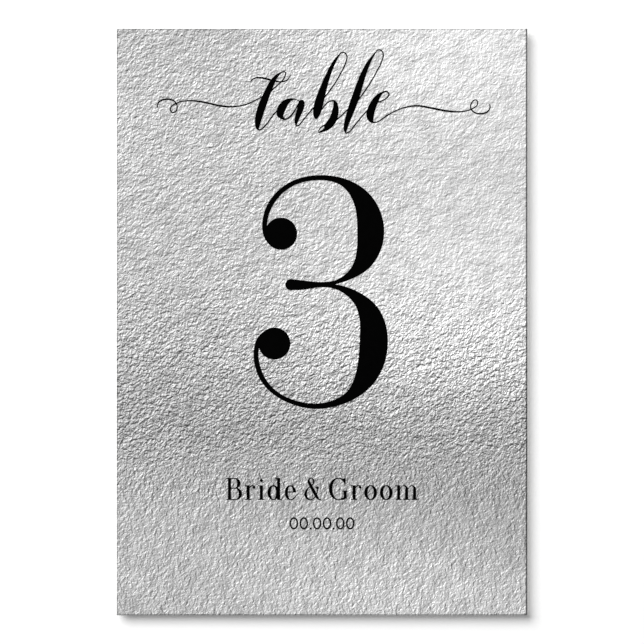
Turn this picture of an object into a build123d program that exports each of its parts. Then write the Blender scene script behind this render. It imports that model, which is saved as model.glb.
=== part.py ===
from build123d import *

import math
import os

# A flat table number card: silver embossed foil on a paperboard core, with raised black lettering.
#
# Frame: the card stands upright. X is its width, Z its height, and the printed face looks towards -Y. The
# origin is at the middle of the bottom edge, halfway through the card's thickness. Sizes are millimetres.

# The card: a standard five by three and a half inch sheet
INCH = 25.4
CARD_WIDTH = 3.5 * INCH
CARD_HEIGHT = 5.0 * INCH

# The layers, from the printed face to the back; INK_SPREAD is how much wider ink dries than a drawn line
FOIL_THICKNESS = 0.04
GLUE_THICKNESS = 0.02
BOARD_THICKNESS = 0.29
LINER_THICKNESS = 0.08
INK_HEIGHT = 0.05
INK_SPREAD = 0.06
CARD_THICKNESS = FOIL_THICKNESS + 2 * GLUE_THICKNESS + BOARD_THICKNESS + LINER_THICKNESS
FRONT_FACE_Y = -CARD_THICKNESS / 2

# The line of words: a high-contrast upright letter with flat hairline serifs
WORDS_BASELINE = 25.0
CAPITAL_HEIGHT = 4.75
SMALL_HEIGHT = 3.15
STEM = 0.66
HAIRLINE = 0.20
SERIF = 0.36
BALL_RADIUS = 0.30
DOT_RADIUS = 0.34
LETTER_GAP = 0.62
WORD_GAP = 1.75

# The line of digits: a plain single-weight figure with round points
DATE_BASELINE = 18.6
DIGIT_HEIGHT = 2.65
DIGIT_WIDTH = 1.85
DIGIT_STROKE = 0.34
POINT_RADIUS = 0.21
DIGIT_GAP = 0.30


# Outlines -------------------------------------------------------------------------------------------------


def pen_stroke(points):
    """A smooth pen line through (x, z, width) points, rounded at both ends, widened by the ink's spread."""
    left = []
    right = []
    tips = []
    last = len(points) - 1
    for index, (x, z, width) in enumerate(points):
        before = points[max(index - 1, 0)]
        after = points[min(index + 1, last)]
        dx = after[0] - before[0]
        dz = after[1] - before[1]
        reach = (width + INK_SPREAD) / 2 / math.hypot(dx, dz)
        left.append((x - dz * reach, z + dx * reach))
        right.append((x + dz * reach, z - dx * reach))
        tips.append((dx * reach, dz * reach))
    start = (points[0][0] - tips[0][0], points[0][1] - tips[0][1])
    end = (points[-1][0] + tips[-1][0], points[-1][1] + tips[-1][1])
    edges = [
        Spline(*left),
        ThreePointArc(left[-1], end, right[-1]),
        Spline(*reversed(right)),
        ThreePointArc(right[0], start, left[0]),
    ]
    return make_face(edges)


def blade(left, right):
    """A swelling stroke between a left and a right edge, both listed from bottom to top."""
    edges = [Spline(*left), Spline(*reversed(right))]
    for one, other in ((left[0], right[0]), (left[-1], right[-1])):
        if one != other:
            edges.append(Line(one, other))
    return make_face(edges)


def disc(x, z, radius):
    """A round dot."""
    return Pos(x, z) * Circle(radius)


def bar(x_low, x_high, z_low, z_high):
    """An upright rectangle between two corners."""
    middle = Pos((x_low + x_high) / 2, (z_low + z_high) / 2)
    return middle * Rectangle(x_high - x_low, z_high - z_low)


def ring(x, z, half_width, half_height, side, top):
    """An oval ring, `side` thick at its left and right, `top` thick above and below."""
    outer = Ellipse(half_width, half_height)
    inner = Ellipse(half_width - side, half_height - top)
    return Pos(x, z) * (outer - inner)


def bowl(x_low, x_high, z_low, z_high, side, top):
    """The right-hand bowl of a capital: flat at its left, round at its right."""

    def filled(inset_side, inset_top):
        half_height = (z_high - z_low) / 2
        half_width = min(half_height * 1.05, x_high - x_low)
        x_centre = x_high - half_width
        middle = (z_low + z_high) / 2
        round_end = Pos(x_centre, middle) * Ellipse(half_width - inset_side, half_height - inset_top)
        flat = bar(x_low, x_centre, z_low + inset_top, z_high - inset_top)
        return flat + (round_end & bar(x_centre - 0.01, x_high, z_low, z_high))

    return filled(0, 0) - filled(side, top)


def join(pieces):
    """One sketch from overlapping faces."""
    whole = pieces[0]
    for piece in pieces[1:]:
        whole = whole + piece
    return whole


def print_node(name, sketch):
    """Raises a flat drawing off the card's face as black print, and writes it as one node."""
    face_plane = Plane(origin=(0, FRONT_FACE_Y, 0), x_dir=(1, 0, 0), z_dir=(0, -1, 0))
    write_node(name, extrude(face_plane * sketch, amount=INK_HEIGHT))


def write_node(name, shape):
    """Writes one sub-part to its STEP file."""
    os.makedirs("parts", exist_ok=True)
    shape.label = name
    export_step(shape, f"parts/{name}.step")


# The card's layers ----------------------------------------------------------------------------------------


def card_layers():
    """Five sheets of one outline, stacked from the printed face at -Y to the back."""
    layers = [
        ("foil_face", FOIL_THICKNESS),
        ("front_adhesive", GLUE_THICKNESS),
        ("board_core", BOARD_THICKNESS),
        ("back_adhesive", GLUE_THICKNESS),
        ("back_liner", LINER_THICKNESS),
    ]
    front = FRONT_FACE_Y
    for name, thickness in layers:
        sheet = Box(CARD_WIDTH, thickness, CARD_HEIGHT)
        write_node(name, Pos(0, front + thickness / 2, CARD_HEIGHT / 2) * sheet)
        front += thickness


# The large numeral ----------------------------------------------------------------------------------------


def numeral_three():
    """A high-contrast three: two swelling bowls, a short tongue between them and two ball ends."""
    upper_outside = [
        (-11.3, 80.2), (-12.7, 82.3), (-12.95, 84.8), (-11.2, 90.0), (-5.0, 94.6), (-0.3, 95.3),
        (5.0, 94.5), (10.0, 91.5), (13.45, 83.0), (10.0, 75.0), (5.0, 72.3), (2.9, 71.65),
    ]
    lower_outside = [
        (2.9, 71.65), (8.0, 69.95), (11.9, 66.85), (14.25, 59.5), (11.0, 50.0), (5.0, 45.9),
        (-1.5, 44.7), (-7.5, 46.1), (-12.85, 50.2), (-14.8, 56.6), (-13.8, 60.3), (-11.9, 61.8),
    ]
    lower_inside = [
        (-13.65, 57.9), (-13.55, 54.6), (-10.6, 49.2), (-5.0, 46.3), (-1.3, 45.85), (2.2, 46.5), (5.2, 48.25),
        (7.2, 52.0), (8.15, 59.5), (7.25, 67.0), (3.2, 70.5), (0.0, 71.05), (-4.0, 70.5), (-6.3, 70.45),
    ]
    upper_inside = [
        (-6.4, 72.75), (-4.5, 72.55), (0.0, 72.15), (3.0, 72.6), (6.25, 75.2), (7.65, 83.0), (6.9, 89.2),
        (4.2, 93.0), (-0.5, 94.2), (-6.9, 92.6), (-10.7, 88.6), (-11.9, 84.2),
    ]
    tongue_end = (-7.95, 71.6)
    bowls = make_face([
        Spline(*upper_outside),
        Spline(*lower_outside),
        Line(lower_outside[-1], lower_inside[0]),
        Spline(*lower_inside),
        ThreePointArc(lower_inside[-1], tongue_end, upper_inside[0]),
        Spline(*upper_inside),
        Line(upper_inside[-1], upper_outside[0]),
    ])
    return join([bowls, disc(-8.87, 82.62, 3.48), disc(-10.32, 58.85, 3.46)])


# The script word ------------------------------------------------------------------------------------------


def left_flourish():
    """The curl and the long wave that lead into the script word."""
    curl = [
        (-35.6, 110.0, 0.18), (-35.3, 111.1, 0.22), (-33.7, 111.75, 0.30), (-31.8, 111.15, 0.22),
        (-31.35, 109.8, 0.20), (-31.7, 109.1, 0.20), (-32.35, 108.85, 0.20),
    ]
    wave = [
        (-31.9, 108.93, 0.20), (-32.4, 108.86, 0.20), (-32.85, 109.4, 0.20), (-32.55, 110.2, 0.20),
        (-31.7, 110.8, 0.20), (-30.0, 111.3, 0.20),
        (-28.3, 111.4, 0.25), (-25.0, 110.95, 0.32), (-21.0, 110.15, 0.32), (-18.0, 110.25, 0.24),
        (-16.0, 110.75, 0.22), (-14.5, 111.45, 0.18), (-12.8, 112.3, 0.18),
    ]
    return [pen_stroke(curl), pen_stroke(wave)]


def right_flourish():
    """The long wave and the double curl that end the script word."""
    wave = [
        (14.1, 108.2, 0.20), (16.0, 109.25, 0.20), (18.0, 109.95, 0.24), (20.5, 110.3, 0.30),
        (23.0, 109.95, 0.34), (26.0, 109.35, 0.36), (29.0, 109.0, 0.26), (31.0, 109.15, 0.20),
        (32.7, 109.75, 0.20), (33.65, 110.7, 0.20), (33.6, 111.38, 0.18), (33.1, 111.58, 0.18),
    ]
    curl = [
        (33.5, 111.48, 0.18), (33.05, 111.58, 0.18), (32.45, 111.05, 0.20), (32.15, 109.9, 0.20),
        (33.1, 108.8, 0.24),
        (34.3, 108.58, 0.28), (36.0, 109.2, 0.25), (36.35, 109.9, 0.20), (36.3, 110.6, 0.12),
    ]
    return [pen_stroke(wave), pen_stroke(curl)]


def script_t():
    """The looped t with its cross stroke."""
    stem = blade(
        [(-13.75, 104.98), (-14.2, 105.3), (-14.52, 106.4), (-13.95, 110.0), (-12.15, 114.1),
         (-10.1, 116.95), (-8.3, 117.8)],
        [(-13.75, 104.98), (-13.55, 105.7), (-12.15, 110.1), (-10.85, 113.7), (-10.2, 115.3), (-9.3, 116.85),
         (-8.3, 117.8)],
    )
    loop = [
        (-8.6, 117.62, 0.22), (-7.9, 117.45, 0.20), (-7.95, 116.9, 0.20), (-9.1, 115.25, 0.20),
        (-11.1, 113.3, 0.20),
    ]
    cross = [
        (-15.4, 115.6, 0.12), (-14.5, 116.3, 0.22), (-13.5, 116.4, 0.30), (-11.3, 115.95, 0.34),
        (-9.0, 115.5, 0.24), (-7.6, 115.85, 0.18), (-6.9, 117.0, 0.12),
    ]
    link = [
        (-13.75, 105.08, 0.20), (-13.1, 105.28, 0.20), (-12.3, 106.0, 0.20), (-10.9, 107.85, 0.20),
        (-9.5, 109.4, 0.20),
    ]
    return [stem, pen_stroke(loop), pen_stroke(cross), pen_stroke(link)]


def script_a():
    """The a: an open oval bowl and a short leaning stem."""
    upper_bowl = [
        (-4.8, 111.15, 0.18), (-6.3, 111.72, 0.34), (-7.35, 111.37, 0.95), (-8.38, 110.35, 1.58),
        (-8.96, 109.2, 1.70), (-9.05, 108.4, 1.40),
    ]
    lower_bowl = [
        (-9.02, 108.7, 1.50), (-8.75, 107.85, 0.85), (-7.9, 107.42, 0.26), (-7.05, 107.85, 0.28),
        (-5.6, 109.8, 0.22), (-5.0, 110.9, 0.22),
    ]
    stem = blade(
        [(-5.65, 105.82), (-5.97, 107.2), (-5.6, 109.0), (-5.2, 110.6), (-4.95, 111.35), (-4.4, 111.64)],
        [(-5.65, 105.82), (-4.9, 107.5), (-4.2, 109.1), (-3.76, 110.6), (-3.92, 111.35), (-4.4, 111.64)],
    )
    link = [
        (-5.6, 105.95, 0.26), (-5.1, 106.05, 0.22), (-4.3, 106.9, 0.20), (-3.2, 108.3, 0.20),
        (-1.7, 110.0, 0.20),
    ]
    return [pen_stroke(upper_bowl), pen_stroke(lower_bowl), stem, pen_stroke(link)]


def script_b():
    """The b: a tall looped stem, a round bowl and a small loop at its foot."""
    stem = blade(
        [(-1.25, 107.35), (-1.75, 107.85), (-1.95, 109.0), (-0.95, 113.0), (1.25, 118.0), (2.45, 120.1),
         (4.3, 121.95)],
        [(-1.25, 107.35), (-0.72, 107.9), (-0.2, 109.0), (0.78, 113.0), (2.28, 118.0), (3.2, 120.1),
         (4.3, 121.95)],
    )
    loop = [
        (3.95, 121.62, 0.22), (4.75, 121.85, 0.22), (5.35, 121.2, 0.20), (5.3, 120.2, 0.20),
        (4.4, 118.0, 0.20), (2.6, 114.9, 0.20), (0.2, 111.7, 0.20),
    ]
    bowl_lead = [(-0.4, 109.1, 0.20), (0.6, 110.4, 0.20), (1.7, 111.3, 0.22), (2.7, 111.35, 0.30)]
    bowl_body = blade(
        [(-0.75, 104.68), (0.0, 105.3), (0.75, 106.5), (1.5, 107.5), (2.1, 109.0), (2.45, 110.5),
         (2.5, 111.45)],
        [(-0.75, 104.68), (1.05, 104.92), (2.62, 106.2), (3.52, 108.3), (3.52, 110.2), (3.2, 111.1),
         (2.5, 111.45)],
    )
    foot_loop = [
        (0.3, 104.85, 0.20), (-0.75, 104.75, 0.20), (-0.45, 105.4, 0.20), (0.2, 105.95, 0.20),
        (1.2, 106.5, 0.20),
    ]
    eye = [(-0.55, 104.95), (0.05, 105.1), (0.4, 105.55), (0.45, 105.95), (-0.05, 105.7)]
    link = [(3.1, 107.25, 0.22), (4.0, 108.0, 0.20), (5.9, 109.9, 0.20)]
    body = bowl_body - make_face([Spline(*eye, eye[0])])
    return [stem, pen_stroke(loop), pen_stroke(bowl_lead), body, pen_stroke(foot_loop), pen_stroke(link)]


def script_l():
    """The l: a tall looped stem."""
    stem = blade(
        [(5.2, 104.28), (4.78, 104.85), (4.75, 106.3), (5.68, 110.0), (7.42, 115.0), (9.88, 120.0),
         (12.2, 122.5)],
        [(5.2, 104.28), (5.75, 106.1), (7.35, 110.0), (8.95, 115.0), (10.65, 119.9), (12.2, 122.5)],
    )
    loop = [
        (11.85, 122.2, 0.22), (12.65, 122.38, 0.22), (13.2, 121.7, 0.20), (13.15, 120.6, 0.20),
        (12.2, 118.4, 0.20), (10.4, 115.2, 0.20), (7.8, 111.5, 0.20),
    ]
    link = [
        (5.15, 104.4, 0.22), (5.8, 104.62, 0.20), (6.7, 105.6, 0.20), (8.3, 107.6, 0.20), (10.0, 109.5, 0.20),
    ]
    return [stem, pen_stroke(loop), pen_stroke(link)]


def script_e():
    """The e: a small eye over a heavy rounded back."""
    eye = [
        (11.7, 111.1, 0.20), (12.9, 111.35, 0.20), (14.1, 112.1, 0.22), (14.5, 112.8, 0.24),
        (14.0, 113.38, 0.24), (13.2, 113.22, 0.34), (12.4, 112.6, 0.50),
    ]
    back = blade(
        [(11.0, 106.62), (10.1, 107.0), (9.6, 108.3), (10.05, 110.2), (11.15, 112.0), (12.3, 113.02),
         (13.4, 113.38)],
        [(11.0, 106.62), (11.12, 107.3), (11.33, 108.7), (11.95, 110.6), (12.55, 112.0), (13.4, 113.38)],
    )
    tail = [(10.7, 106.85, 0.40), (11.6, 106.74, 0.22), (12.9, 107.35, 0.20), (14.6, 108.5, 0.20)]
    return [pen_stroke(eye), back, pen_stroke(tail)]


def script_word():
    """The whole joined word with its flourishes."""
    strokes = left_flourish() + script_t() + script_a() + script_b() + script_l() + script_e()
    return join(strokes + right_flourish())


# The line of words ----------------------------------------------------------------------------------------


def foot_serif(x_stem, reach_left=SERIF, reach_right=SERIF):
    """The flat hairline foot of a stem that starts at x_stem."""
    return bar(x_stem - reach_left, x_stem + STEM + reach_right, 0, HAIRLINE)


def flag(x_stem, height):
    """The thin flag at the head of a small letter's stem."""
    return bar(x_stem - SERIF, x_stem + STEM / 2, height - HAIRLINE, height)


def letter_b_capital():
    """Capital B, and its width."""
    waist = 2.42
    upper = bowl(SERIF, 3.05, waist, CAPITAL_HEIGHT, STEM * 1.05, HAIRLINE)
    lower = bowl(SERIF, 3.4, 0, waist + HAIRLINE, STEM * 1.1, HAIRLINE)
    stem = bar(SERIF, SERIF + STEM, 0, CAPITAL_HEIGHT)
    head = bar(0, SERIF + STEM, CAPITAL_HEIGHT - HAIRLINE, CAPITAL_HEIGHT)
    foot = bar(0, SERIF + STEM, 0, HAIRLINE)
    return join([stem, head, foot, upper, lower]), 3.4


def letter_r():
    """Small r, and its width."""
    stem = bar(SERIF, SERIF + STEM, 0, SMALL_HEIGHT)
    ear = pen_stroke([(0.8, 2.2, 0.16), (1.15, 2.82, 0.16), (1.65, 3.09, 0.15), (2.05, 2.95, 0.2)])
    ball = disc(1.98, 2.72, BALL_RADIUS)
    return join([stem, flag(SERIF, SMALL_HEIGHT), foot_serif(SERIF), ear, ball]), 2.25


def letter_i():
    """Small i, and its width."""
    stem = bar(SERIF, SERIF + STEM, 0, SMALL_HEIGHT)
    dot = disc(SERIF + STEM / 2, 4.2, DOT_RADIUS)
    return [join([stem, flag(SERIF, SMALL_HEIGHT), foot_serif(SERIF)]), dot], 2 * SERIF + STEM


def letter_d():
    """Small d, and its width."""
    x_stem = 2.1
    round_part = ring(1.3, SMALL_HEIGHT / 2, 1.3, SMALL_HEIGHT / 2 + 0.04, STEM * 1.08, HAIRLINE)
    left_part = round_part & bar(0, x_stem + 0.1, -0.1, SMALL_HEIGHT + 0.1)
    stem = bar(x_stem, x_stem + STEM, 0, CAPITAL_HEIGHT)
    foot = bar(x_stem, x_stem + STEM + SERIF, 0, HAIRLINE)
    return join([left_part, stem, flag(x_stem, CAPITAL_HEIGHT), foot]), x_stem + STEM + SERIF


def letter_e():
    """Small e, and its width."""
    half_width = 1.24
    waist = 1.62
    whole = ring(half_width, SMALL_HEIGHT / 2, half_width, SMALL_HEIGHT / 2 + 0.04, STEM * 1.05, HAIRLINE)
    open_ring = whole - bar(half_width + 0.35, 3.0, 0.62, waist) - bar(half_width, 3.0, -0.1, 0.62)
    waist_bar = bar(0.3, 2 * half_width - 0.04, waist, waist + HAIRLINE)
    tail = pen_stroke([(1.2, 0.045, 0.15), (1.65, 0.12, 0.18), (2.05, 0.38, 0.16), (2.38, 0.85, 0.12)])
    return join([open_ring, waist_bar, tail]), 2 * half_width


def letter_o():
    """Small o, and its width."""
    half_width = 1.38
    half_height = SMALL_HEIGHT / 2 + 0.04
    return ring(half_width, SMALL_HEIGHT / 2, half_width, half_height, STEM * 1.08, HAIRLINE), 2 * half_width


def letter_m():
    """Small m, and its width."""
    step = 1.72
    pieces = [flag(SERIF, SMALL_HEIGHT)]
    for index in range(3):
        x_stem = SERIF + index * step
        top = SMALL_HEIGHT if index == 0 else 2.35
        pieces.append(bar(x_stem, x_stem + STEM, 0, top))
        pieces.append(foot_serif(x_stem, SERIF * 0.85, SERIF * 0.85))
    for index in range(2):
        x_arch = SERIF + STEM + index * step
        pieces.append(
            blade(
                [(x_arch - 0.1, 2.2), (x_arch + 0.28, 2.9), (x_arch + 0.78, 3.2), (x_arch + 1.35, 3.0),
                 (x_arch + step, 2.3)],
                [(x_arch - 0.1, 2.0), (x_arch + 0.3, 2.72), (x_arch + 0.7, 3.03), (x_arch + 1.05, 2.85),
                 (x_arch + step - STEM, 2.3)],
            )
        )
    return join(pieces), 2 * SERIF + 2 * step + STEM


def letter_g_capital():
    """Capital G, and its width."""
    half_width = 2.05
    half_height = CAPITAL_HEIGHT / 2 + 0.06
    whole = ring(half_width, CAPITAL_HEIGHT / 2, half_width, half_height, STEM * 1.12, HAIRLINE)
    x_stem = 3.2
    mouth = bar(half_width + 0.6, 5.0, 0.45, 4.1) + bar(x_stem + STEM / 2, 5.0, -0.2, 5.0)
    beak = make_face(Polyline((3.6, CAPITAL_HEIGHT), (3.6, 3.1), (2.75, 4.5), close=True))
    stem = bar(x_stem, x_stem + STEM, 0.45, 2.0)
    shoulder = blade(
        [(2.5, 0.1), (2.95, 0.3), (x_stem, 0.6)],
        [(2.5, 0.0), (3.05, 0.02), (3.5, 0.2), (x_stem + STEM, 0.6)],
    )
    head = bar(x_stem - SERIF, x_stem + STEM + SERIF, 2.0 - HAIRLINE, 2.0)
    return join([whole - mouth, beak, stem, head, shoulder]), 4.15


def ampersand():
    """The and sign, and its width."""
    diagonal = pen_stroke([
        (0.95, 4.0, 0.48), (1.7, 2.5, 0.58), (2.5, 1.05, 0.58), (2.95, 0.32, 0.40), (3.3, 0.08, 0.18),
        (3.6, 0.16, 0.12),
    ])
    upper_left = pen_stroke([(0.98, 3.7, 0.42), (0.95, 4.15, 0.36), (1.35, 4.68, 0.16), (1.75, 4.62, 0.14)])
    upper_right = pen_stroke([(1.75, 4.62, 0.14), (2.08, 4.1, 0.3), (1.9, 3.45, 0.2), (1.35, 2.85, 0.14)])
    lower_left = pen_stroke([
        (1.4, 2.88, 0.14), (0.6, 2.2, 0.3), (0.28, 1.25, 0.52), (0.65, 0.35, 0.36), (1.45, 0.03, 0.16),
    ])
    lower_right = pen_stroke([(1.45, 0.03, 0.16), (2.2, 0.45, 0.14), (2.75, 1.4, 0.13), (2.95, 2.5, 0.13)])
    ball = disc(2.85, 2.62, BALL_RADIUS)
    return join([diagonal, upper_left, upper_right, lower_left, lower_right, ball]), 3.6


def set_word(letters, x_start):
    """Sets letters side by side from x_start; gives the placed faces and the x where the word ends."""
    placed = []
    x = x_start
    for shapes, width in letters:
        for shape in shapes if isinstance(shapes, list) else [shapes]:
            placed.append(Pos(x, WORDS_BASELINE) * shape)
        x += width + LETTER_GAP
    return placed, x - LETTER_GAP


def words_width(words):
    """The length of a line of words."""
    letters = [letter for word in words for letter in word]
    gaps_within = sum(len(word) - 1 for word in words)
    return sum(width for _, width in letters) + gaps_within * LETTER_GAP + (len(words) - 1) * WORD_GAP


def line_of_words():
    """Three words, centred on the card, each its own node."""
    bride = [letter_b_capital(), letter_r(), letter_i(), letter_d(), letter_e()]
    groom = [letter_g_capital(), letter_r(), letter_o(), letter_o(), letter_m()]
    words = {"bride_lettering": bride, "ampersand": [ampersand()], "groom_lettering": groom}
    x = -words_width(list(words.values())) / 2
    for name, letters in words.items():
        placed, x_end = set_word(letters, x)
        print_node(name, Sketch() + placed)
        x = x_end + WORD_GAP


# The line of digits ---------------------------------------------------------------------------------------


def line_of_digits():
    """Three pairs of noughts with points between them, centred on the card."""
    step = DIGIT_WIDTH + DIGIT_GAP
    point_room = 2 * POINT_RADIUS + DIGIT_GAP
    pair_pitch = 2 * step + point_room
    middle = DATE_BASELINE + DIGIT_HEIGHT / 2
    digits = []
    points = []
    for pair in (-1, 0, 1):
        for side in (-0.5, 0.5):
            x = pair * pair_pitch + side * step
            nought = ring(x, middle, DIGIT_WIDTH / 2, DIGIT_HEIGHT / 2, DIGIT_STROKE, DIGIT_STROKE)
            digits.append(nought)
    for side in (-0.5, 0.5):
        points.append(disc(side * pair_pitch, DATE_BASELINE + POINT_RADIUS, POINT_RADIUS))
    print_node("date_digits", Sketch() + digits)
    print_node("date_points", Sketch() + points)


def build_card():
    """Writes every node of the card."""
    card_layers()
    print_node("numeral_three", numeral_three())
    print_node("script_table", script_word())
    line_of_words()
    line_of_digits()


build_card()
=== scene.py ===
import logging
import math
from dataclasses import dataclass, field
from enum import Enum
from typing import NamedTuple

import bpy
import numpy as np
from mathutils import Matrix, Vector


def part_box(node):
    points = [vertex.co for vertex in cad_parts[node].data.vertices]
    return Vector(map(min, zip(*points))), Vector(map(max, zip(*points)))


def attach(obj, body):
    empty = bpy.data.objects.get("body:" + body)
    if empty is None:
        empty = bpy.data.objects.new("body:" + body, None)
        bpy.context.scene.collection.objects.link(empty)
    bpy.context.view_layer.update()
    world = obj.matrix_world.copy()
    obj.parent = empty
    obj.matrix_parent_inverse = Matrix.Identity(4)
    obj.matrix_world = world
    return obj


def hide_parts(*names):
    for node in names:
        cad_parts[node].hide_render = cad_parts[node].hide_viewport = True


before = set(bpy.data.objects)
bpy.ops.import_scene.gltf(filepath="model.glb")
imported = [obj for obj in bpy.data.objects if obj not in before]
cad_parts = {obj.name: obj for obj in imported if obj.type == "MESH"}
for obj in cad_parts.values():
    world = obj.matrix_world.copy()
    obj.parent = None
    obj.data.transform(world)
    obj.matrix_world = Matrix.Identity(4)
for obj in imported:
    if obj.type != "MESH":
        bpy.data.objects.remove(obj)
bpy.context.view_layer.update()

MM = 0.001
LOG = logging.getLogger("table_card")

# The embossing's ridges lean this far above the horizontal, in degrees: high on the card and low on it
HIGH_LEAN = 32.0
LOW_LEAN = 77.0

Colour = tuple[float, float, float, float]
Triple = tuple[float, float, float]
Tones = tuple[tuple[float, float], ...]
Sockets = bpy.types.bpy_prop_collection


def rgb(red: float, green: float, blue: float) -> Colour:
    """A solid colour."""
    return (red, green, blue, 1.0)


def grey(level: float) -> Colour:
    """A solid grey."""
    return rgb(level, level, level)


class Socket(Enum):
    """The kinds of socket that a shader group is given."""

    NUMBER = "NodeSocketFloat"
    VECTOR = "NodeSocketVector"


class Fade(NamedTuple):
    """A soft change of one number as another goes from start to end."""

    start: float
    end: float
    before: float
    after: float


class Noise(NamedTuple):
    """A soft noise: the size of a blotch in metres, and how its finer layers are made.

    detail is how many finer layers there are, roughness how strong they are, warp how far they are pulled
    about, and step how many times finer each layer is than the one before.
    """

    spacing: float
    detail: float
    roughness: float
    warp: float
    step: float = 2.0


class NodeSheet:
    """Lays nodes out in one node tree and joins them up."""

    def __init__(self, tree: bpy.types.NodeTree) -> None:
        """Keeps the node tree of a material, a world or a shader group to work in."""
        self.tree = tree

    def add(self, kind: str, **settings: object) -> bpy.types.Node:
        """Adds one node.

        Args:
            kind: The node's type name, without the ShaderNode prefix.
            **settings: Properties to set on the node.

        Returns:
            The new node.
        """
        node = self.tree.nodes.new("ShaderNode" + kind)
        for name, value in settings.items():
            setattr(node, name, value)
        return node

    def feed(self, socket: bpy.types.NodeSocket, value: object) -> None:
        """Sets a socket to a value, or joins it to another socket.

        Args:
            socket: The input socket.
            value: An output socket, a number or a tuple. None leaves the socket as it is.
        """
        if isinstance(value, bpy.types.NodeSocket):
            self.tree.links.new(value, socket)
        elif value is not None:
            socket.default_value = value

    def feed_all(self, node: bpy.types.Node, *values: object) -> bpy.types.NodeSocket:
        """Sets or joins a node's first inputs in order.

        Args:
            node: The node.
            *values: Its inputs, as sockets, numbers or tuples.

        Returns:
            The node's first output.
        """
        for socket, value in zip(node.inputs, values):
            self.feed(socket, value)
        return node.outputs[0]

    def maths(self, operation: str, *values: object) -> bpy.types.NodeSocket:
        """Does one arithmetic step with sockets or numbers, and gives the result's socket."""
        return self.feed_all(self.add("Math", operation=operation), *values)

    def fade(self, value: object, fade: Fade, size: float = 1.0) -> bpy.types.NodeSocket:
        """Makes a soft change as a value grows. The fade's start and end are shares of the size."""
        node = self.add("MapRange", interpolation_type="SMOOTHSTEP")
        return self.feed_all(node, value, fade.start * size, fade.end * size, fade.before, fade.after)

    def blend(self, share: object, first: object, second: object) -> bpy.types.NodeSocket:
        """Mixes two colours, with the share as how much of the second one, from 0 to 1."""
        return self.mixed("RGBA", share, first, second)

    def blend_numbers(self, share: object, first: object, second: object) -> bpy.types.NodeSocket:
        """Mixes two numbers, with the share as how much of the second one, from 0 to 1."""
        return self.mixed("FLOAT", share, first, second)

    def mixed(self, kind: str, share: object, first: object, second: object) -> bpy.types.NodeSocket:
        """Mixes two colours or numbers. A Mix node has sockets of every kind and enables its own.

        Args:
            kind: The Mix node's data type.
            share: How much of the second, from 0 to 1.
            first: The first colour or number.
            second: The second colour or number.

        Returns:
            The result's socket.
        """
        node = self.add("Mix", data_type=kind)
        own = [socket for socket in node.inputs if socket.enabled]
        for socket, value in zip(own, (share, first, second)):
            self.feed(socket, value)
        return next(socket for socket in node.outputs if socket.enabled)

    def place(self) -> bpy.types.NodeSocket:
        """The point on the piece, in metres in the object's own frame."""
        return self.add("TexCoord").outputs["Object"]

    def axes(self, vector: bpy.types.NodeSocket) -> Sockets:
        """Takes a vector apart.

        Args:
            vector: The vector's socket.

        Returns:
            Its X, Y and Z as three sockets.
        """
        node = self.add("SeparateXYZ")
        self.feed(node.inputs[0], vector)
        return node.outputs

    def scaled(self, vector: object, scale: object) -> bpy.types.NodeSocket:
        """Multiplies a vector or a colour by one number.

        Args:
            vector: The vector or colour.
            scale: The number.

        Returns:
            The product's socket.
        """
        node = self.add("VectorMath", operation="SCALE")
        self.feed(node.inputs[0], vector)
        self.feed(node.inputs["Scale"], scale)
        return node.outputs[0]

    def noise(self, vector: object, kind: Noise) -> bpy.types.NodeSocket:
        """Soft noise from 0 to 1.

        Args:
            vector: The coordinates, in metres.
            kind: The noise's size and layers.

        Returns:
            The noise's socket.
        """
        node = self.add("TexNoise")
        self.feed(node.inputs["Vector"], vector)
        self.feed(node.inputs["Scale"], 1 / kind.spacing)
        self.feed(node.inputs["Detail"], kind.detail)
        self.feed(node.inputs["Roughness"], kind.roughness)
        self.feed(node.inputs["Distortion"], kind.warp)
        self.feed(node.inputs["Lacunarity"], kind.step)
        return node.outputs[0]

    def turned(self, vector: object, degrees: float, stretch: Triple) -> bpy.types.NodeSocket:
        """Coordinates turned in the card's plane and then stretched along the turned axes.

        Args:
            vector: The coordinates to turn.
            degrees: The lean of the pattern's long direction above the horizontal.
            stretch: The scale along the turned X, Y and Z.

        Returns:
            The turned coordinates' socket.
        """
        turn = self.add("VectorRotate", rotation_type="Y_AXIS")
        self.feed(turn.inputs["Vector"], vector)
        self.feed(turn.inputs["Angle"], math.radians(degrees))
        return self.feed_all(self.add("VectorMath", operation="MULTIPLY"), turn.outputs[0], stretch)

    def bump(self, height: object, depth: float, normal: object = None) -> bpy.types.NodeSocket:
        """A normal from a height.

        Args:
            height: The height's socket, from 0 to 1.
            depth: How far 1 stands above 0, in metres.
            normal: A normal to start from, or None.

        Returns:
            The normal's socket.
        """
        node = self.add("Bump")
        self.feed(node.inputs["Strength"], 1.0)
        self.feed(node.inputs["Distance"], depth)
        self.feed(node.inputs["Height"], height)
        self.feed(node.inputs["Normal"], normal)
        return node.outputs[0]


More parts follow.
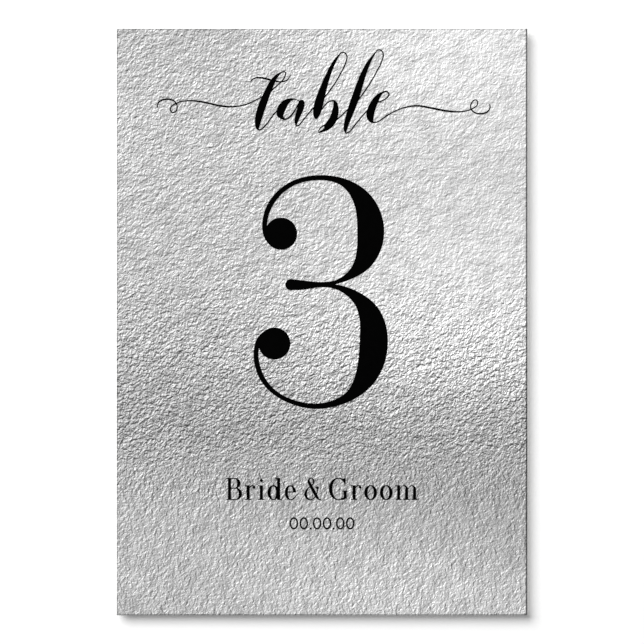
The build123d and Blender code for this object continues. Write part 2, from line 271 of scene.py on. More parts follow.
@dataclass(frozen=True)
class ShaderGroup:
    """A named shader group, made once and placed in several materials."""

    name: str
    inputs: tuple[tuple[str, Socket], ...]
    outputs: tuple[tuple[str, Socket], ...]

    def open(self) -> tuple[NodeSheet, Sockets, Sockets]:
        """Makes the group's tree with its sockets.

        Returns:
            The sheet to lay nodes on, what the group is given and what it puts out.
        """
        tree = bpy.data.node_groups.new(self.name, "ShaderNodeTree")
        for side, sockets in (("INPUT", self.inputs), ("OUTPUT", self.outputs)):
            for name, kind in sockets:
                tree.interface.new_socket(name, in_out=side, socket_type=kind.value)
        entry = tree.nodes.new("NodeGroupInput")
        leave = tree.nodes.new("NodeGroupOutput")
        return NodeSheet(tree), entry.outputs, leave.inputs

    def use(self, sheet: NodeSheet, **values: object) -> Sockets:
        """Places the group in a material.

        Args:
            sheet: The material's node sheet.
            **values: Its inputs by name.

        Returns:
            The placed group's output sockets.
        """
        node = sheet.tree.nodes.new("ShaderNodeGroup")
        node.node_tree = bpy.data.node_groups[self.name]
        for name, value in values.items():
            sheet.feed(node.inputs[name], value)
        return node.outputs


FIBRES = ShaderGroup(
    "paper_fibres",
    (("Place", Socket.VECTOR), ("Fineness", Socket.NUMBER)),
    (("Fibre", Socket.NUMBER), ("Cloud", Socket.NUMBER)),
)
CUT_EDGE = ShaderGroup(
    "cut_edge",
    (("Place", Socket.VECTOR), ("Reach", Socket.NUMBER)),
    (("Rim", Socket.NUMBER), ("Shaded side", Socket.NUMBER)),
)
GRAIN = ShaderGroup(
    "leaning_grain",
    (("Place", Socket.VECTOR),),
    (("Height", Socket.NUMBER), ("Flank", Socket.NUMBER), ("Cloud", Socket.NUMBER)),
)


@dataclass
class SharedEffects:
    """The shader groups that more than one finish uses. Fades along the card are shares of its size."""

    width: float
    height: float
    fibre_leans: Triple = (12.0, 71.0, 133.0)
    fibre_stretch: Triple = (0.22, 1.0, 1.0)
    fibre_noise: Noise = Noise(0.16 * MM, 2.0, 0.55, 0.6)
    fibre_contrast: Fade = Fade(0.45, 0.8, 0.0, 1.0)
    paper_clouds: Noise = Noise(4.5 * MM, 3.0, 0.6, 0.3)
    rim: Fade = Fade(0.5, 1.0, 1.0, 0.0)
    right_edge: Fade = Fade(0.493, 0.497, 0.0, 1.0)
    low_edge: Fade = Fade(0.0004, 0.004, 1.0, 0.0)
    low_share: float = 0.45
    shaded_reach: float = 1.3
    ridge_stretch: Triple = (0.85, 1.0, 1.0)
    ridge_noise: Noise = Noise(0.76 * MM, 2.0, 0.80, 0.45, 1.75)
    # The directions of the painted light on the ridge flanks, in degrees, high and low on the card
    high_painted_light_side: float = 110.0
    low_painted_light_side: float = 174.0
    steep_foot: Fade = Fade(0.20, 0.31, 1.0, 0.0)
    flank: float = 0.16 * MM
    foil_clouds: Noise = Noise(3.2 * MM, 2.0, 0.55, 0.3)

    def build(self) -> None:
        """Makes every group."""
        self.fibres()
        self.cut_edge()
        self.grain()

    def fibres(self) -> None:
        """Short crossing fibres and the soft cloudiness of a paper sheet."""
        sheet, given, made = FIBRES.open()
        place = sheet.scaled(given["Place"], given["Fineness"])
        first, second, third = (
            sheet.noise(sheet.turned(place, lean, self.fibre_stretch), self.fibre_noise)
            for lean in self.fibre_leans
        )
        strands = sheet.maths("MAXIMUM", sheet.maths("MAXIMUM", first, second), third)
        sheet.feed(made["Fibre"], sheet.fade(strands, self.fibre_contrast))
        sheet.feed(made["Cloud"], sheet.noise(place, self.paper_clouds))

    def cut_edge(self) -> None:
        """How near a point is to the sheet's outline, and how far towards its lower right it lies."""
        sheet, given, made = CUT_EDGE.open()
        axes = sheet.axes(given["Place"])
        across = sheet.maths("ABSOLUTE", axes["X"])
        along = sheet.maths("ABSOLUTE", sheet.maths("SUBTRACT", axes["Z"], self.height / 2))
        to_side = sheet.maths("SUBTRACT", self.width / 2, across)
        to_end = sheet.maths("SUBTRACT", self.height / 2, along)
        nearest = sheet.maths("MINIMUM", to_side, to_end)
        right = sheet.fade(axes["X"], self.right_edge, self.width)
        low = sheet.fade(axes["Z"], self.low_edge, self.height)
        shaded = sheet.maths("MAXIMUM", right, sheet.maths("MULTIPLY", low, self.low_share))
        reach = sheet.maths("MULTIPLY", given["Reach"], sheet.blend_numbers(shaded, 1.0, self.shaded_reach))
        sheet.feed(made["Rim"], sheet.fade(sheet.maths("DIVIDE", nearest, reach), self.rim))
        sheet.feed(made["Shaded side"], shaded)

    def grain(self) -> None:
        """The fine embossing: short ridges that lean one way high on the card and stand steeper low down, and
        how steeply they fall towards a painted light.
        """
        sheet, given, made = GRAIN.open()
        steep = sheet.fade(sheet.axes(given["Place"])["Z"], self.steep_foot, self.height)
        high, high_flank = self.ridges(sheet, given["Place"], HIGH_LEAN, self.high_painted_light_side)
        low, low_flank = self.ridges(sheet, given["Place"], LOW_LEAN, self.low_painted_light_side)
        sheet.feed(made["Height"], sheet.blend_numbers(steep, high, low))
        sheet.feed(made["Flank"], sheet.blend_numbers(steep, high_flank, low_flank))
        sheet.feed(made["Cloud"], sheet.noise(given["Place"], self.foil_clouds))

    def ridges(
        self, sheet: NodeSheet, place: bpy.types.NodeSocket, lean: float, painted_light_side: float
    ) -> tuple[bpy.types.NodeSocket, bpy.types.NodeSocket]:
        """One set of ridges.

        Args:
            sheet: The group's node sheet.
            place: The point on the piece.
            lean: How far the ridges lean above the horizontal, in degrees.
            painted_light_side: The direction of the painted light, in degrees: flanks that fall towards it
                are painted lighter.

        Returns:
            The ridges' height, and how steeply it falls towards the painted light, for painted light and
            shade on the flanks.
        """
        turn = math.radians(painted_light_side)
        step = (self.flank * math.cos(turn), 0.0, self.flank * math.sin(turn))
        moved = sheet.feed_all(sheet.add("VectorMath", operation="ADD"), place, step)
        here, beside = (
            sheet.noise(sheet.turned(point, lean, self.ridge_stretch), self.ridge_noise)
            for point in (place, moved)
        )
        return here, sheet.maths("SUBTRACT", here, beside)


class Finish:
    """A material made of nodes."""

    name: str = "finish"

    def material(self) -> bpy.types.Material:
        """Makes the material, or gives the one made before.

        Returns:
            The material.
        """
        found = bpy.data.materials.get(self.name)
        if found:
            return found
        made = bpy.data.materials.new(self.name)
        made.use_nodes = True
        self.paint(NodeSheet(made.node_tree), made.node_tree.nodes["Principled BSDF"])
        return made

    def paint(self, sheet: NodeSheet, shader: bpy.types.Node) -> None:
        """Lays the nodes that feed the material's Principled BSDF."""
        raise NotImplementedError

    def dress(self, piece: bpy.types.Object) -> None:
        """Puts this finish on a piece in place of what it had."""
        piece.data.materials.clear()
        piece.data.materials.append(self.material())


class PaintedSheen(NamedTuple):
    """A soft painted sheen: a lighter patch painted on the card.

    Its middle and its reach are shares of the card's size. gain is how much lighter the middle is, and edge
    is the square of the distance, counted in reaches, at which the patch ends.
    """

    x: float
    z: float
    wide: float
    tall: float
    gain: float
    edge: float


@dataclass(frozen=True)
class SilverFoil(Finish):
    """Embossed silver foil: satin metal whose grey carries painted reflections and painted light and shade.

    The tones are (share of the height, grey) pairs for the card's left and right: the foil's grey with broad
    painted reflection bands in it, and wander is how far the drift carries them up and down. Fades along the
    card are shares of its size. painted_flank_contrast is how much painted light or shade a steep flank gets,
    painted_flank_softness holds back the steepest ones, and darkest is the least that the painted shade
    leaves.
    hollows is painted shade in the low parts of the sheet's relief and painted highlight on its high parts.
    """

    width: float
    height: float
    name: str = "embossed_foil"
    metallic: float = 0.55
    # How much painted light and shade the steep ridge flanks get, how the steepest are held back, and the
    # least that is left
    roughness: Fade = Fade(0.3, 0.7, 0.46, 0.54)
    bump_depth: float = 0.23 * MM
    painted_flank_contrast: float = 2.5
    painted_flank_softness: float = 7.0
    darkest_painted_shade: float = 0.2
    # Painted shade in the relief's hollows and painted highlight on its crests
    painted_hollow_shade: Fade = Fade(0.15, 0.75, 0.86, 1.08)
    # The foil's grey with broad bands of painted reflection, lighter and darker, up the card's left and right
    left_painted_reflection_tones: Tones = (
        (0.02, 0.62), (0.13, 0.61), (0.18, 0.59), (0.24, 0.54), (0.30, 0.48), (0.36, 0.47), (0.44, 0.53),
        (0.55, 0.57), (0.70, 0.58), (0.84, 0.585), (0.93, 0.56), (1.00, 0.515),
    )
    right_painted_reflection_tones: Tones = (
        (0.02, 0.765), (0.09, 0.685), (0.14, 0.585), (0.20, 0.535), (0.27, 0.515), (0.31, 0.545),
        (0.36, 0.655), (0.41, 0.78), (0.46, 0.87), (0.60, 0.875), (0.72, 0.80), (0.80, 0.80), (0.88, 0.87),
        (1.00, 0.92),
    )
    left_to_right: Fade = Fade(-0.40, 0.40, 0.0, 1.0)
    drift: Noise = Noise(26.0 * MM, 1.0, 0.5, 0.4)
    wander: float = 0.07
    painted_sheen: PaintedSheen = PaintedSheen(x=0.08, z=0.08, wide=0.34, tall=0.12, gain=0.08, edge=1.4)
    rim_reach: float = 0.34 * MM
    # Painted shade along the cut edge, on the lit left and top and on the shaded right and bottom
    lit_side_edge_shade: float = 0.30
    shaded_side_edge_shade: float = 0.82
    deep_band: Fade = Fade(0.64, 0.37, 0.0, 0.98)
    shallow_foot: Fade = Fade(0.27, 0.17, 0.0, -0.98)
    shallow_side: Fade = Fade(-0.25, 0.42, 0.0, 1.0)
    shallow_top: Fade = Fade(0.42, 0.62, 0.0, -0.36)

    def paint(self, sheet: NodeSheet, shader: bpy.types.Node) -> None:
        """Lays the foil's nodes.

        Args:
            sheet: The material's node sheet.
            shader: Its Principled BSDF.
        """
        place = sheet.place()
        axes = sheet.axes(place)
        grain = GRAIN.use(sheet, Place=place)
        pressed = self.pressed(sheet, axes)
        # Painted light and shade on the foil: ridge flanks, hollows, the low sheen patch and the cut edge
        shade = sheet.maths("MULTIPLY", self.painted_ridge_light(sheet, grain["Flank"], pressed), self.painted_low_sheen(sheet, axes))
        # Painted shade along the cut edge
        shade = sheet.maths("MULTIPLY", shade, self.rim(sheet, place))
        sheet.feed(shader.inputs["Base Color"], sheet.scaled(self.painted_reflection_tone(sheet, place, axes), shade))
        shader.inputs["Metallic"].default_value = self.metallic
        sheet.feed(shader.inputs["Roughness"], sheet.fade(grain["Cloud"], self.roughness))
        raised = sheet.maths("MULTIPLY", grain["Height"], pressed)
        sheet.feed(shader.inputs["Normal"], sheet.bump(raised, self.bump_depth))

    def painted_reflection_tone(self, sheet: NodeSheet, place: bpy.types.NodeSocket, axes: Sockets) -> bpy.types.NodeSocket:
        """The foil's grey with broad painted reflections: brighter and darker bands.

        Args:
            sheet: The node sheet.
            place: The point on the piece.
            axes: The place's X, Y and Z.

        Returns:
            The grey's socket.
        """
        sway = sheet.maths("SUBTRACT", sheet.noise(place, self.drift), 0.5)
        up = sheet.maths("DIVIDE", axes["Z"], self.height)
        up = sheet.maths("ADD", up, sheet.maths("MULTIPLY", sway, self.wander))
        right = sheet.fade(axes["X"], self.left_to_right, self.width)
        left_painted_reflection = self.ramp(sheet, up, self.left_painted_reflection_tones)
        return sheet.blend(right, left_painted_reflection, self.ramp(sheet, up, self.right_painted_reflection_tones))

    def ramp(self, sheet: NodeSheet, position: object, tones: Tones) -> bpy.types.NodeSocket:
        """A run of greys up the card.

        Args:
            sheet: The node sheet.
            position: How far up the card a point is, from 0 to 1.
            tones: (position, grey) pairs.

        Returns:
            The grey's socket.
        """
        node = sheet.add("ValToRGB")
        ramp = node.color_ramp
        ramp.interpolation = "CARDINAL"
        while len(ramp.elements) < len(tones):
            ramp.elements.new(0.5)
        for element, (place, level) in zip(ramp.elements, tones):
            element.position = place
            element.color = grey(level)
        sheet.feed(node.inputs[0], position)
        return node.outputs[0]

    def painted_ridge_light(self, sheet: NodeSheet, flank: object, pressed: object) -> bpy.types.NodeSocket:
        """Painted light and shade: the bright and dark flanks of the fine ridges, and painted shade in the
        hollows of the sheet's relief.

        Args:
            sheet: The node sheet.
            flank: How steeply the ridges fall towards the light.
            pressed: How deep the embossing is.

        Returns:
            How much lighter or darker the foil is, about 1.
        """
        steep = sheet.maths("MULTIPLY", flank, pressed)
        softened = sheet.maths("MULTIPLY", steep, self.painted_flank_softness)
        gain = sheet.maths("MULTIPLY", steep, sheet.maths("SUBTRACT", self.painted_flank_contrast, softened))
        ridges = sheet.maths("MAXIMUM", sheet.maths("ADD", 1.0, gain), self.darkest_painted_shade)
        # Painted shade in the hollows of the pressed relief, painted highlight on its crests
        relief = sheet.add("Attribute", attribute_name="relief").outputs["Fac"]
        return sheet.maths("MULTIPLY", sheet.fade(relief, self.painted_hollow_shade), ridges)

    def painted_low_sheen(self, sheet: NodeSheet, axes: Sockets) -> bpy.types.NodeSocket:
        """The soft painted sheen: a lighter patch low in the middle of the card.

        Args:
            sheet: The node sheet.
            axes: The place's X, Y and Z.

        Returns:
            How much lighter the foil is there, from 1 up.
        """
        painted_sheen = self.painted_sheen
        squares = []
        for axis, middle, reach, size in (
            ("X", painted_sheen.x, painted_sheen.wide, self.width),
            ("Z", painted_sheen.z, painted_sheen.tall, self.height),
        ):
            off = sheet.maths("DIVIDE", sheet.maths("SUBTRACT", axes[axis], middle * size), reach * size)
            squares.append(sheet.maths("MULTIPLY", off, off))
        return sheet.fade(sheet.maths("ADD", *squares), Fade(0.0, painted_sheen.edge, 1.0 + painted_sheen.gain, 1.0))

    def rim(self, sheet: NodeSheet, place: bpy.types.NodeSocket) -> bpy.types.NodeSocket:
        """Painted shade along the foil's turned-down edge, darkest on the right and below, away from the
        light.

        Args:
            sheet: The node sheet.
            place: The point on the piece.

        Returns:
            How dark the foil is there, from 1 down.
        """
        edge = CUT_EDGE.use(sheet, Place=place, Reach=self.rim_reach)
        depth = sheet.blend_numbers(edge["Shaded side"], self.lit_side_edge_shade, self.shaded_side_edge_shade)
        return sheet.maths("SUBTRACT", 1.0, sheet.maths("MULTIPLY", edge["Rim"], depth))

    def pressed(self, sheet: NodeSheet, axes: Sockets) -> bpy.types.NodeSocket:
        """Lets the embossing run deeper in a band below the numeral and shallower at the upper right, in the
        bump and in the painted light and shade of the ridge flanks alike.

        Args:
            sheet: The node sheet.
            axes: The place's X, Y and Z.

        Returns:
            How deep the embossing is, about 1.
        """
        band = sheet.fade(axes["Z"], self.deep_band, self.height)
        foot = sheet.fade(axes["Z"], self.shallow_foot, self.height)
        side = sheet.fade(axes["X"], self.shallow_side, self.width)
        top = sheet.fade(axes["Z"], self.shallow_top, self.height)
        share = sheet.maths("ADD", sheet.maths("ADD", band, foot), sheet.maths("MULTIPLY", side, top))
        return sheet.maths("ADD", 1.0, share)


@dataclass(frozen=True)
class BlackInk(Finish):
    """Raised satin black print, faintly mottled by the grain under it."""

    name: str = "raised_print"
    mottle: Noise = Noise(1.4 * MM, 3.0, 0.6, 0.4)
    dark: Colour = grey(0.0003)
    light: Colour = grey(0.0010)
    roughness: Fade = Fade(0.35, 0.65, 0.42, 0.58)
    specular: float = 0.012
    bump_depth: float = 0.02 * MM

    def paint(self, sheet: NodeSheet, shader: bpy.types.Node) -> None:
        """Lays the ink's nodes.

        Args:
            sheet: The material's node sheet.
            shader: Its Principled BSDF.
        """
        place = sheet.place()
        grain = GRAIN.use(sheet, Place=place)
        mottle = sheet.noise(place, self.mottle)
        sheet.feed(shader.inputs["Base Color"], sheet.blend(mottle, self.dark, self.light))
        sheet.feed(shader.inputs["Roughness"], sheet.fade(mottle, self.roughness))
        shader.inputs["Specular IOR Level"].default_value = self.specular
        sheet.feed(shader.inputs["Normal"], sheet.bump(grain["Height"], self.bump_depth))


@dataclass(frozen=True)
class WhitePaper(Finish):
    """The uncoated paper of the card's back: a fine tooth with painted shade in its pits, soft clouds and a
    faint trace of the embossing.
    """

    name: str = "white_paper"
    fineness: float = 0.45
    tooth: Noise = Noise(0.55 * MM, 3.0, 0.65, 0.3)
    tooth_depth: float = 0.075 * MM
    trace_depth: float = 0.075 * MM
    clouds: Fade = Fade(0.30, 0.70, 0.0, 1.0)
    dull: Colour = rgb(0.85, 0.845, 0.83)
    clear: Colour = rgb(0.89, 0.887, 0.875)
    fibre: Colour = rgb(0.95, 0.95, 0.945)
    fibre_share: float = 0.60
    # Painted shade in the low pits of the tooth
    pit_shade: Colour = rgb(0.62, 0.61, 0.59)
    painted_pit_shade: Fade = Fade(0.32, 0.50, 0.42, 0.0)
    worn: Colour = rgb(0.58, 0.57, 0.55)
    worn_share: float = 0.40
    worn_reach: float = 0.5 * MM
    roughness: Fade = Fade(0.3, 0.7, 0.92, 0.76)
    specular: float = 0.3

    def paint(self, sheet: NodeSheet, shader: bpy.types.Node) -> None:
        """Lays the paper's nodes.

        Args:
            sheet: The material's node sheet.
            shader: Its Principled BSDF.
        """
        place = sheet.place()
        paper = FIBRES.use(sheet, Place=place, Fineness=self.fineness)
        grain = GRAIN.use(sheet, Place=place)
        tooth = sheet.noise(place, self.tooth)
        edge = CUT_EDGE.use(sheet, Place=place, Reach=self.worn_reach)
        colour = sheet.blend(sheet.fade(paper["Cloud"], self.clouds), self.dull, self.clear)
        colour = sheet.blend(sheet.maths("MULTIPLY", paper["Fibre"], self.fibre_share), colour, self.fibre)
        # Painted shade in the tooth's low pits
        colour = sheet.blend(sheet.fade(tooth, self.painted_pit_shade), colour, self.pit_shade)
        colour = sheet.blend(sheet.maths("MULTIPLY", edge["Rim"], self.worn_share), colour, self.worn)
        sheet.feed(shader.inputs["Base Color"], colour)
        sheet.feed(shader.inputs["Roughness"], sheet.fade(tooth, self.roughness))
        shader.inputs["Specular IOR Level"].default_value = self.specular
        trace = sheet.bump(grain["Height"], self.trace_depth)
        sheet.feed(shader.inputs["Normal"], sheet.bump(tooth, self.tooth_depth, trace))


@dataclass(frozen=True)
class CoreBoard(Finish):
    """Pressed board seen at its cut edge: pale, in thin plies."""

    name: str = "pressed_board"
    fineness: float = 1.6
    squeeze: Triple = (0.35, 4.0, 0.35)
    plies: Noise = Noise(0.22 * MM, 3.0, 0.6, 0.2)
    dark: Colour = rgb(0.60, 0.585, 0.55)
    light: Colour = rgb(0.84, 0.83, 0.80)
    fibre: Colour = rgb(0.9, 0.89, 0.87)
    fibre_share: float = 0.3
    roughness: Fade = Fade(0.3, 0.7, 0.8, 0.95)
    specular: float = 0.25
    bump_depth: float = 0.02 * MM

    def paint(self, sheet: NodeSheet, shader: bpy.types.Node) -> None:
        """Lays the board's nodes.

        Args:
            sheet: The material's node sheet.
            shader: Its Principled BSDF.
        """
        place = sheet.place()
        paper = FIBRES.use(sheet, Place=place, Fineness=self.fineness)
        plies = sheet.noise(sheet.turned(place, 0.0, self.squeeze), self.plies)
        colour = sheet.blend(plies, self.dark, self.light)
        colour = sheet.blend(sheet.maths("MULTIPLY", paper["Fibre"], self.fibre_share), colour, self.fibre)
        sheet.feed(shader.inputs["Base Color"], colour)
        sheet.feed(shader.inputs["Roughness"], sheet.fade(plies, self.roughness))
        shader.inputs["Specular IOR Level"].default_value = self.specular
        sheet.feed(shader.inputs["Normal"], sheet.bump(plies, self.bump_depth))


@dataclass(frozen=True)
class DriedGlue(Finish):
    """The thin line of laminating glue between two sheets, seen only at the cut edge."""

    name: str = "dried_glue"
    gaps: Noise = Noise(1.1 * MM, 3.0, 0.6, 0.5)
    dark: Colour = rgb(0.42, 0.40, 0.35)
    light: Colour = rgb(0.66, 0.64, 0.59)
    roughness: Fade = Fade(0.3, 0.7, 0.35, 0.6)
    bump_depth: float = 0.006 * MM

    def paint(self, sheet: NodeSheet, shader: bpy.types.Node) -> None:
        """Lays the glue's nodes.

        Args:
            sheet: The material's node sheet.
            shader: Its Principled BSDF.
        """
        gaps = sheet.noise(sheet.place(), self.gaps)
        sheet.feed(shader.inputs["Base Color"], sheet.blend(gaps, self.dark, self.light))
        sheet.feed(shader.inputs["Roughness"], sheet.fade(gaps, self.roughness))
        sheet.feed(shader.inputs["Normal"], sheet.bump(gaps, self.bump_depth))


def deselect_all() -> None:
    """Leaves nothing selected, so that an operator acts only on what is picked next."""
    if bpy.context.object and bpy.context.object.mode != "OBJECT":
        bpy.ops.object.mode_set(mode="OBJECT")
    bpy.ops.object.select_all(action="DESELECT")


def lattice_noise(across: np.ndarray, along: np.ndarray, seed: int, side: int = 256) -> np.ndarray:
    """Smooth noise on a square lattice of random slopes.

    Args:
        across: First coordinate, in lattice steps.
        along: Second coordinate, in lattice steps.
        seed: Which lattice to use.
        side: How many slopes the lattice has each way before it repeats.

    Returns:
        Noise between about -0.7 and 0.7 at each point.
    """
    angles = np.random.default_rng(seed).uniform(0, 2 * math.pi, (side, side))
    slopes = np.stack([np.cos(angles), np.sin(angles)], axis=-1)
    column = np.floor(across).astype(int)
    row = np.floor(along).astype(int)
    right = across - column
    up = along - row

    def corner(dx: int, dy: int) -> np.ndarray:
        """The pull of one lattice corner."""
        slope = slopes[(column + dx) % side, (row + dy) % side]
        return slope[..., 0] * (right - dx) + slope[..., 1] * (up - dy)

    def eased(share: np.ndarray) -> np.ndarray:
        """A share from 0 to 1 that starts and ends softly."""
        return share**3 * (share * (share * 6 - 15) + 10)

    low = corner(0, 0) * (1 - eased(right)) + corner(1, 0) * eased(right)
    high = corner(0, 1) * (1 - eased(right)) + corner(1, 1) * eased(right)
    return low * (1 - eased(up)) + high * eased(up)


class Streaks(NamedTuple):
    """One layer of the foil's relief: how wide its streaks are, in metres, and how strong."""

    width: float
    strength: float


@dataclass
class EmbossedGrain:
    """The relief pressed into the foil, as a height over the card's face.

    The streaks are length times as long as wide. sway is the size of the bends in them and pull how far they
    bend. They begin to stand steeper below steep_top of the card's height, and have turned steep_fade lower.
    A higher sharpness gives flatter tops and steeper sides.
    """

    height: float
    depth: float = 0.020 * MM
    layers: tuple[Streaks, ...] = (Streaks(2.3 * MM, 0.8), Streaks(1.25 * MM, 0.6))
    length: float = 2.1
    sway: float = 6.0 * MM
    pull: float = 1.1 * MM
    steep_top: float = 0.42
    steep_fade: float = 0.3
    sharpness: float = 1.25
    seed: int = 11

    def leaning(self, x: np.ndarray, z: np.ndarray, lean: float, step: float, seed: int) -> np.ndarray:
        """Noise drawn out along one direction.

        Args:
            x: Places across the card.
            z: Places up the card.
            lean: The streaks' angle above the horizontal, in degrees.
            step: The streaks' width.
            seed: Which pattern to use.

        Returns:
            The noise at each place.
        """
        turn = math.radians(lean)
        along = x * math.cos(turn) + z * math.sin(turn)
        across = z * math.cos(turn) - x * math.sin(turn)
        return lattice_noise(across / step, along / (step * self.length), seed)

    def at(self, x: np.ndarray, z: np.ndarray) -> np.ndarray:
        """The relief's height.

        Args:
            x: Places across the card.
            z: Places up the card.

        Returns:
            Heights from about -1 to 1.
        """
        x_moved = x + self.pull * lattice_noise(x / self.sway, z / self.sway, self.seed + 1)
        z_moved = z + self.pull * lattice_noise(x / self.sway, z / self.sway, self.seed + 2)
        steep = np.clip((self.steep_top - z / self.height) / self.steep_fade, 0, 1)
        steep = steep * steep * (3 - 2 * steep)
        total = np.zeros_like(x)
        for index, layer in enumerate(self.layers, start=1):
            seed = self.seed + 10 * index
            high = self.leaning(x_moved, z_moved, HIGH_LEAN, layer.width, seed)
            low = self.leaning(x_moved, z_moved, LOW_LEAN, layer.width, seed + 5)
            total += layer.strength * (high * (1 - steep) + low * steep)
        return np.tanh(self.sharpness * total)


@dataclass
class FoilSheet:
    """The embossed foil on the card's face, with its edges turned down by the cutter.

    cell is the side of one face of its mesh, and the relief dies away over the outermost flat_cells of them.
    """

    low: Vector
    high: Vector
    cell: float = 0.343 * MM
    flat_cells: float = 3.0
    turned_edge: float = 0.20 * MM
    turned_drop: float = 0.018 * MM
    smooth_angle: float = math.radians(40)

    def build(self) -> bpy.types.Object:
        """Models the sheet and dresses it.

        Returns:
            The finished piece.
        """
        width = self.high.x - self.low.x
        height = self.high.z - self.low.z
        deselect_all()
        bpy.ops.mesh.primitive_grid_add(
            x_subdivisions=round(width / self.cell),
            y_subdivisions=round(height / self.cell),
            size=1.0,
            rotation=(math.pi / 2, 0.0, 0.0),
            location=(0.0, self.low.y, (self.low.z + self.high.z) / 2),
        )
        piece = bpy.context.object
        piece.name = "foil_face_embossed"
        piece.data.name = piece.name
        piece.scale = (width, height, 1.0)
        bpy.ops.object.transform_apply(location=True, rotation=True, scale=True)
        self.close_back()
        self.press(piece, width, height)
        bpy.ops.object.shade_smooth_by_angle(angle=self.smooth_angle)
        SilverFoil(width, height).dress(piece)
        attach(piece, "root")
        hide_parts("foil_face")
        return piece

    def close_back(self) -> None:
        """Gives the sheet its thickness and a flat back."""
        thickness = self.high.y - self.low.y
        bpy.ops.object.mode_set(mode="EDIT")
        bpy.ops.mesh.select_mode(type="EDGE")
        bpy.ops.mesh.select_all(action="DESELECT")
        bpy.ops.mesh.select_non_manifold()
        bpy.ops.mesh.extrude_edges_move(TRANSFORM_OT_translate={"value": (0.0, thickness, 0.0)})
        bpy.ops.mesh.edge_face_add()
        bpy.ops.mesh.select_all(action="SELECT")
        bpy.ops.mesh.normals_make_consistent(inside=False)
        bpy.ops.object.mode_set(mode="OBJECT")

    def press(self, piece: bpy.types.Object, width: float, height: float) -> None:
        """Presses the grain into the front face and keeps its height as an attribute, which the foil's finish
        uses for painted shade in the hollows.

        Args:
            piece: The sheet.
            width: The card's width.
            height: The card's height.
        """
        grain = EmbossedGrain(height)
        places = np.zeros(len(piece.data.vertices) * 3, np.float32)
        piece.data.vertices.foreach_get("co", places)
        places = places.reshape(-1, 3)
        front = places[:, 1] < (self.low.y + self.high.y) / 2
        x = places[:, 0].astype(float)
        z = places[:, 2].astype(float)
        level = grain.at(x, z)
        to_edge = np.minimum(width / 2 - np.abs(x), np.minimum(z, height - z))
        fade = np.clip(to_edge / (self.flat_cells * self.cell), 0, 1)
        rim = np.clip(1 - to_edge / self.turned_edge, 0, 1)
        push = -grain.depth * level * fade + rim * self.turned_drop
        places[front, 1] += push[front].astype(np.float32)
        piece.data.vertices.foreach_set("co", places.ravel())
        relief = piece.data.attributes.new("relief", "FLOAT", "POINT")
        relief.data.foreach_set("value", (0.5 + 0.5 * level).astype(np.float32))
        piece.data.update()


@dataclass
class CardSheets:
    """The plain layers behind the foil, which keep their own shapes."""

    finishes: dict[str, Finish] = field(
        default_factory=lambda: {
            "front_adhesive": DriedGlue(),
            "board_core": CoreBoard(),
            "back_adhesive": DriedGlue(),
            "back_liner": WhitePaper(),
        }
    )

    def dress(self) -> None:
        """Gives each layer its finish."""
        for node, finish in self.finishes.items():
            finish.dress(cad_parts[node])
            LOG.info("dressed %s", node)


@dataclass
class RaisedPrint:
    """The black print on the foil, which keeps its own shape."""

    nodes: tuple[str, ...] = (
        "numeral_three", "script_table", "bride_lettering", "ampersand", "groom_lettering", "date_digits",
        "date_points",
    )
    finish: BlackInk = field(default_factory=BlackInk)

    def dress(self) -> None:
        """Gives each printed node the ink."""
        for node in self.nodes:
            self.finish.dress(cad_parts[node])
            LOG.info("dressed %s", node)


@dataclass(frozen=True)
class StagePaint(Finish):
    """Matt white for the floor, brighter to the eye than to the light that bounces off it."""

    name: str = "stage_white"
    seen: float = 1.17
    bounced: float = 0.85

    def paint(self, sheet: NodeSheet, shader: bpy.types.Node) -> None:
        """Lays the paint's nodes, clear to the rays that it lets through.

        Args:
            sheet: The material's node sheet.
            shader: Its Principled BSDF, which the paint does without.
        """
        matt = sheet.add("BsdfDiffuse")
        to_camera = sheet.add("LightPath").outputs["Is Camera Ray"]
        sheet.feed(matt.inputs["Color"], sheet.blend(to_camera, grey(self.bounced), grey(self.seen)))
        clear = sheet.add("BsdfTransparent")
        surface = sheet.feed_all(sheet.add("MixShader"), self.solid(sheet), clear.outputs[0], matt.outputs[0])
        sheet.feed(sheet.tree.nodes["Material Output"].inputs["Surface"], surface)
        sheet.tree.nodes.remove(shader)

    def solid(self, sheet: NodeSheet) -> bpy.types.NodeSocket:
        """1 for the rays that meet the paint, and 0 for those on their way to a lamp."""
        return sheet.maths("SUBTRACT", 1.0, sheet.add("LightPath").outputs["Is Shadow Ray"])


@dataclass(frozen=True)
class OneSidedPaint(StagePaint):
    """The backdrop's white: it shows from the front only, and lets light through."""

    name: str = "backdrop_white"

    def solid(self, sheet: NodeSheet) -> bpy.types.NodeSocket:
        """Finds the rays that meet the paint.

        Args:
            sheet: The material's node sheet.

        Returns:
            1 for the camera's rays from the front, and 0 for all others.
        """
        seen = sheet.add("LightPath").outputs["Is Camera Ray"]
        front = sheet.maths("SUBTRACT", 1.0, sheet.add("NewGeometry").outputs["Backfacing"])
        return sheet.maths("MULTIPLY", seen, front)


class Lamp(NamedTuple):
    """A square soft light: where it hangs, the length of its side and its power in watts."""

    name: str
    place: Triple
    size: float
    power: float


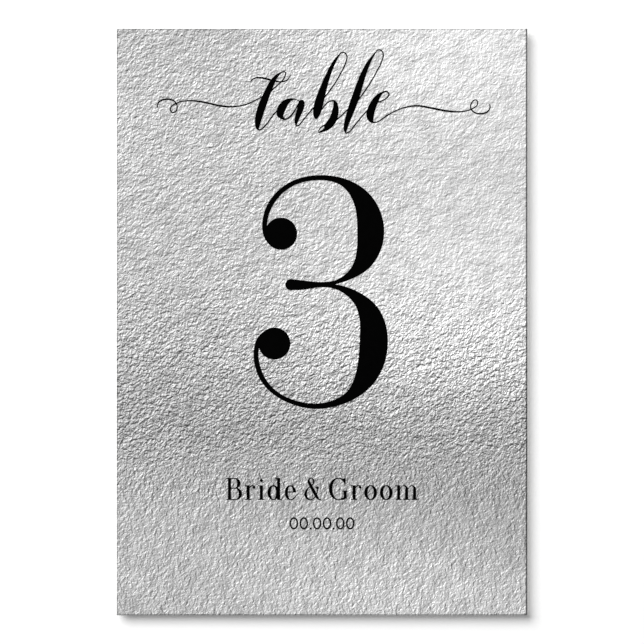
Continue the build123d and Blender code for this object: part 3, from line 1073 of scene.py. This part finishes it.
@dataclass
class Stage:
    """The floor, the backdrop close behind the card, the lights and the camera.

    view_width is how wide a strip the camera sees at the card's middle.
    """

    middle: Vector
    card_width: float
    backdrop_gap: float = 2.2 * MM
    backdrop_size: float = 0.18
    floor_size: float = 1.4
    key: Lamp = Lamp("key", (-0.76, -1.15, 0.82), 1.2, 26.0)
    fill: Lamp = Lamp("back_fill", (0.62, 1.1, 0.62), 0.7, 8.5)
    room_light: float = 0.28
    view_width: float = 139.4 * MM
    lens: float = 200.0
    sensor: float = 36.0
    clip_start: float = 0.01
    clip_end: float = 20.0

    def build(self) -> None:
        """Makes the whole stage."""
        self.floor()
        self.backdrop()
        self.hang(self.key)
        self.hang(self.fill)
        self.world()
        self.camera()

    def floor(self) -> None:
        """Adds the floor behind the backdrop, with a tongue that reaches forward under the card."""
        behind = (0.0, self.backdrop_gap + self.floor_size / 2, 0.0)
        under = (0.0, self.backdrop_gap / 2, 0.0)
        deselect_all()
        bpy.ops.mesh.primitive_plane_add(size=self.floor_size, location=behind)
        floor = bpy.context.object
        floor.name = "floor"
        bpy.ops.object.mode_set(mode="EDIT")
        bpy.ops.mesh.select_all(action="DESELECT")
        bpy.ops.mesh.primitive_plane_add(size=1.0, location=under)
        bpy.ops.transform.resize(value=(self.card_width, self.backdrop_gap, 1.0), center_override=under)
        bpy.ops.object.mode_set(mode="OBJECT")
        StagePaint().dress(floor)

    def backdrop(self) -> None:
        """Adds the backdrop, facing the front, which catches the card's shadow."""
        deselect_all()
        bpy.ops.mesh.primitive_plane_add(
            size=self.backdrop_size,
            rotation=(math.pi / 2, 0.0, 0.0),
            location=(0.0, self.backdrop_gap, self.middle.z),
        )
        backdrop = bpy.context.object
        backdrop.name = "backdrop"
        OneSidedPaint().dress(backdrop)

    def hang(self, lamp: Lamp) -> None:
        """Hangs a square soft light that faces the card.

        Args:
            lamp: The light.
        """
        data = bpy.data.lights.new(lamp.name, "AREA")
        data.shape = "SQUARE"
        data.size = lamp.size
        data.energy = lamp.power
        hung = bpy.data.objects.new(lamp.name, data)
        bpy.context.scene.collection.objects.link(hung)
        hung.location = lamp.place
        hung.rotation_euler = (self.middle - Vector(lamp.place)).to_track_quat("-Z", "Y").to_euler()

    def world(self) -> None:
        """A pale room, pure white where the camera sees it."""
        world = bpy.data.worlds.new("pale_room")
        world.use_nodes = True
        bpy.context.scene.world = world
        sheet = NodeSheet(world.node_tree)
        shade = world.node_tree.nodes["Background"]
        seen = sheet.add("LightPath").outputs["Is Camera Ray"]
        sheet.feed(shade.inputs["Color"], sheet.blend(seen, grey(self.room_light), grey(1.0)))
        shade.inputs["Strength"].default_value = 1.0

    def camera(self) -> None:
        """Sets the camera square to the card's face, level with its middle."""
        data = bpy.data.cameras.new("camera")
        data.lens = self.lens
        data.sensor_width = self.sensor
        data.clip_start = self.clip_start
        data.clip_end = self.clip_end
        camera = bpy.data.objects.new("camera", data)
        bpy.context.scene.collection.objects.link(camera)
        distance = self.view_width * self.lens / self.sensor
        camera.location = (self.middle.x, self.middle.y - distance, self.middle.z)
        camera.rotation_euler = (math.pi / 2, 0.0, 0.0)
        bpy.context.scene.camera = camera
        bpy.context.scene.view_settings.view_transform = "Standard"


def main() -> None:
    """Builds the card and its stage."""
    logging.basicConfig(level=logging.INFO, format="%(name)s: %(message)s")
    low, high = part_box("foil_face")
    width = high.x - low.x
    height = high.z - low.z
    SharedEffects(width, height).build()
    foil = FoilSheet(low, high).build()
    LOG.info("built %s with %d faces", foil.name, len(foil.data.polygons))
    CardSheets().dress()
    RaisedPrint().dress()
    Stage(Vector((0.0, low.y, height / 2)), width).build()


if __name__ == "__main__":
    main()
